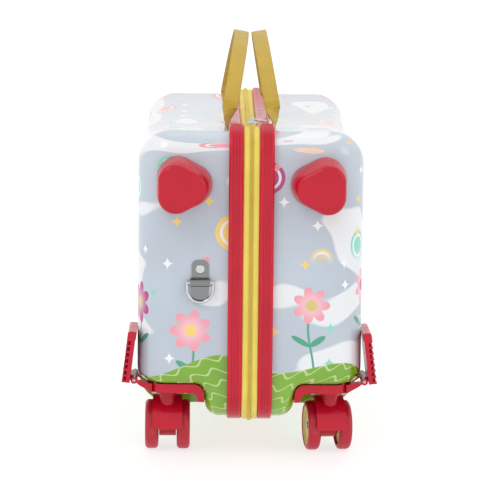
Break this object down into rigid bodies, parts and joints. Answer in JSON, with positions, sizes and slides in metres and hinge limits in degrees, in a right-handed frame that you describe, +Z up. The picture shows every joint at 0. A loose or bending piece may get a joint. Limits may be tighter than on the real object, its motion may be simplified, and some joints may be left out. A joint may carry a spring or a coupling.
{
  "type": "ride-on suitcase",
  "caption": "Child's hard-shell suitcase with a saddle top to sit on, front grips, folding footrests, webbing handles, a tow ring and swivelling casters; opens like a clam on its keel.",
  "frame": {"origin": "on the floor below the middle of the part's bounding box; the zip plane is x = 0", "axes": "+Z up from the floor, -Y to the front with the grips, +X to the rider's left, which is the right side seen from the front"},
  "size_m": [0.2554, 0.479, 0.4212],
  "materials": {
    "shell": "smooth printed moulding",
    "lining": "plain woven lining",
    "rim": "glossy red moulding",
    "zip_tape": "woven tape with a moulded coil",
    "hinge_tape": "woven strip",
    "webbing": "flat woven webbing",
    "grip": "glossy red moulding",
    "footrest": "glossy red moulding",
    "wheel_base": "glossy red moulding",
    "yoke": "glossy red moulding",
    "tyre": "smooth solid tread",
    "hub": "cream moulding",
    "steel": "plain steel",
    "clip": "bright plating"
  },
  "bodies": {
    "left_half": {"left_shell": "shell", "left_lining": "lining", "left_rim": "rim", "left_zip_tape": "zip_tape", "left_hinge_tape": "hinge_tape", "front_left_wheel_base": "wheel_base", "rear_left_wheel_base": "wheel_base", "left_kingpins": "steel", "left_footrest_pin": "steel", "left_handle_tabs": "webbing", "left_grip": "grip", "left_screws": "steel", "clip_plate": "clip", "clip_rivet": "clip", "zip_slider": "clip"},
    "right_half": {"right_shell": "shell", "right_lining": "lining", "right_rim": "rim", "right_zip_tape": "zip_tape", "right_hinge_tape": "hinge_tape", "front_right_wheel_base": "wheel_base", "rear_right_wheel_base": "wheel_base", "right_kingpins": "steel", "right_footrest_pin": "steel", "right_handle_tabs": "webbing", "right_grip": "grip", "right_screws": "steel"},
    "front_left_caster": {"front_left_yoke": "yoke", "front_left_axle": "steel"},
    "front_left_outer_wheel": {"front_left_outer_tyre": "tyre", "front_left_outer_hub": "hub"},
    "front_left_inner_wheel": {"front_left_inner_tyre": "tyre", "front_left_inner_hub": "hub"},
    "rear_left_caster": {"rear_left_yoke": "yoke", "rear_left_axle": "steel"},
    "rear_left_outer_wheel": {"rear_left_outer_tyre": "tyre", "rear_left_outer_hub": "hub"},
    "rear_left_inner_wheel": {"rear_left_inner_tyre": "tyre", "rear_left_inner_hub": "hub"},
    "left_footrest": {"left_footrest": "footrest"},
    "left_handle": {"left_handle": "webbing"},
    "front_right_caster": {"front_right_yoke": "yoke", "front_right_axle": "steel"},
    "front_right_outer_wheel": {"front_right_outer_tyre": "tyre", "front_right_outer_hub": "hub"},
    "front_right_inner_wheel": {"front_right_inner_tyre": "tyre", "front_right_inner_hub": "hub"},
    "rear_right_caster": {"rear_right_yoke": "yoke", "rear_right_axle": "steel"},
    "rear_right_outer_wheel": {"rear_right_outer_tyre": "tyre", "rear_right_outer_hub": "hub"},
    "rear_right_inner_wheel": {"rear_right_inner_tyre": "tyre", "rear_right_inner_hub": "hub"},
    "right_footrest": {"right_footrest": "footrest"},
    "right_handle": {"right_handle": "webbing"},
    "tow_ring": {"tow_ring": "clip"},
    "zip_pull": {"zip_pull": "clip"}
  },
  "joints": [
    {"name": "case_open", "type": "hinge", "parent": "left_half", "child": "right_half", "pos_m": [0, 0.0125, 0.0332], "axis": [0, 1, 0], "range_deg": [0, 90]},
    {"name": "front_left_swivel", "type": "hinge", "parent": "left_half", "child": "front_left_caster", "pos_m": [-0.082, -0.1675, 0.05], "axis": [0, 0, 1], "continuous": true},
    {"name": "front_left_outer_spin", "type": "hinge", "parent": "front_left_caster", "child": "front_left_outer_wheel", "pos_m": [-0.082, -0.1555, 0.025], "axis": [1, 0, 0], "continuous": true},
    {"name": "front_left_inner_spin", "type": "hinge", "parent": "front_left_caster", "child": "front_left_inner_wheel", "pos_m": [-0.082, -0.1555, 0.025], "axis": [1, 0, 0], "continuous": true},
    {"name": "rear_left_swivel", "type": "hinge", "parent": "left_half", "child": "rear_left_caster", "pos_m": [-0.082, 0.1925, 0.05], "axis": [0, 0, 1], "continuous": true},
    {"name": "rear_left_outer_spin", "type": "hinge", "parent": "rear_left_caster", "child": "rear_left_outer_wheel", "pos_m": [-0.082, 0.2045, 0.025], "axis": [1, 0, 0], "continuous": true},
    {"name": "rear_left_inner_spin", "type": "hinge", "parent": "rear_left_caster", "child": "rear_left_inner_wheel", "pos_m": [-0.082, 0.2045, 0.025], "axis": [1, 0, 0], "continuous": true},
    {"name": "left_footrest_fold", "type": "hinge", "parent": "left_half", "child": "left_footrest", "pos_m": [-0.1155, -0.1715, 0.077], "axis": [0, -1, 0], "range_deg": [0, 97]},
    {"name": "left_handle_fold", "type": "hinge", "parent": "left_half", "child": "left_handle", "pos_m": [-0.0237, -0.0355, 0.335], "axis": [0, -1, 0], "range_deg": [0, 98]},
    {"name": "front_right_swivel", "type": "hinge", "parent": "right_half", "child": "front_right_caster", "pos_m": [0.082, -0.1675, 0.05], "axis": [0, 0, 1], "continuous": true},
    {"name": "front_right_outer_spin", "type": "hinge", "parent": "front_right_caster", "child": "front_right_outer_wheel", "pos_m": [0.08054, -0.15559, 0.025], "axis": [0.9925, 0.1219, 0], "continuous": true},
    {"name": "front_right_inner_spin", "type": "hinge", "parent": "front_right_caster", "child": "front_right_inner_wheel", "pos_m": [0.08054, -0.15559, 0.025], "axis": [0.9925, 0.1219, 0], "continuous": true},
    {"name": "rear_right_swivel", "type": "hinge", "parent": "right_half", "child": "rear_right_caster", "pos_m": [0.082, 0.1925, 0.05], "axis": [0, 0, 1], "continuous": true},
    {"name": "rear_right_outer_spin", "type": "hinge", "parent": "rear_right_caster", "child": "rear_right_outer_wheel", "pos_m": [0.082, 0.2045, 0.025], "axis": [1, 0, 0], "continuous": true},
    {"name": "rear_right_inner_spin", "type": "hinge", "parent": "rear_right_caster", "child": "rear_right_inner_wheel", "pos_m": [0.082, 0.2045, 0.025], "axis": [1, 0, 0], "continuous": true},
    {"name": "right_footrest_fold", "type": "hinge", "parent": "right_half", "child": "right_footrest", "pos_m": [0.1155, -0.1715, 0.077], "axis": [0, 1, 0], "range_deg": [0, 97]},
    {"name": "right_handle_fold", "type": "hinge", "parent": "right_half", "child": "right_handle", "pos_m": [0.0237, -0.0355, 0.335], "axis": [0, 1, 0], "range_deg": [0, 98]},
    {"name": "tow_ring_swing", "type": "hinge", "parent": "left_half", "child": "tow_ring", "pos_m": [-0.05, -0.2119, 0.179], "axis": [-1, 0, 0], "range_deg": [-4, 160]},
    {"name": "zip_pull_flip", "type": "hinge", "parent": "left_half", "child": "zip_pull", "pos_m": [0, -0.18089, 0.33917], "axis": [0, -0.9905, 0.1376], "range_deg": [0, 160]}
  ]
}
